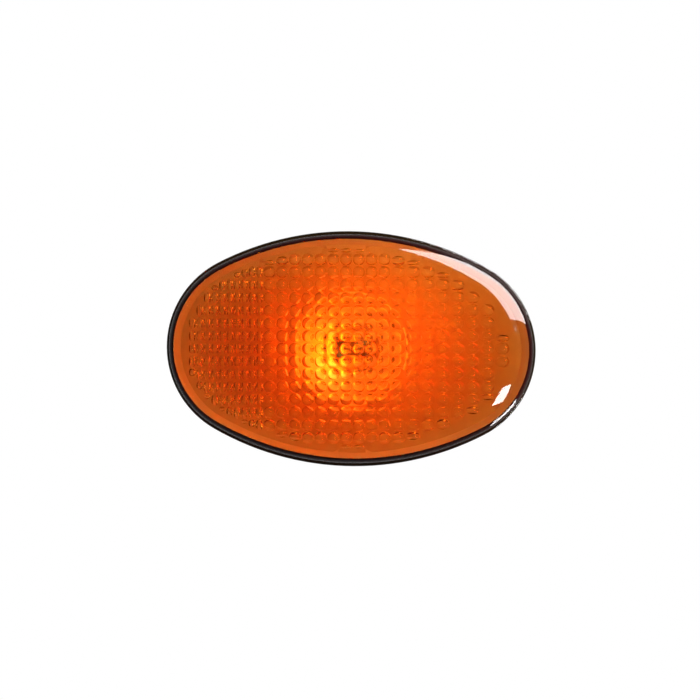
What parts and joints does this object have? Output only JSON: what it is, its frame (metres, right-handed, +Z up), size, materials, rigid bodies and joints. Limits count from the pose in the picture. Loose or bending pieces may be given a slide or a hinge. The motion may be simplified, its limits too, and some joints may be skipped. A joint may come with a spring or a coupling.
{
  "type": "vehicle side indicator lamp",
  "caption": "Oval amber side indicator lamp for a car wing: pillow-optic lens on a black snap-in housing, with a bayonet bulb holder and wedge bulb behind.",
  "frame": {"origin": "on the bulb axis, in the plane where the gasket seats on the car panel", "axes": "+X along the oval, to the right of someone who faces the lens; +Y into the car, along the bulb axis; +Z up"},
  "size_m": [0.0738, 0.0452, 0.047],
  "materials": {
    "lens_acrylic": "transparent amber acrylic, polished mould",
    "housing_abs": "black ABS, fine spark-eroded texture",
    "reflector_film": "satin grey ABS, the bowl vacuum metallised",
    "gasket_rubber": "soft EPDM, matt",
    "holder_nylon": "natural glass-filled nylon, satin",
    "seal_rubber": "silicone rubber, matt",
    "contact_brass": "rolled spring brass",
    "bulb_clear_glass": "clear soda-lime glass",
    "filament_tungsten": "drawn tungsten",
    "lead_nickel": "drawn nickel wire"
  },
  "bodies": {
    "lamp_body": {"lens": "lens_acrylic", "housing": "housing_abs", "reflector": "reflector_film", "panel_gasket": "gasket_rubber"},
    "bulb_unit": {"bulb_holder": "holder_nylon", "holder_seal": "seal_rubber", "contact_left": "contact_brass", "contact_right": "contact_brass", "bulb_glass": "bulb_clear_glass", "bulb_filament": "filament_tungsten", "bulb_lead_wires": "lead_nickel"}
  },
  "joints": [
    {"name": "bulb_holder_twist", "type": "hinge", "parent": "lamp_body", "child": "bulb_unit", "pos_m": [0, 0, 0], "axis": [0, 1, 0], "range_deg": [0, 40]}
  ]
}
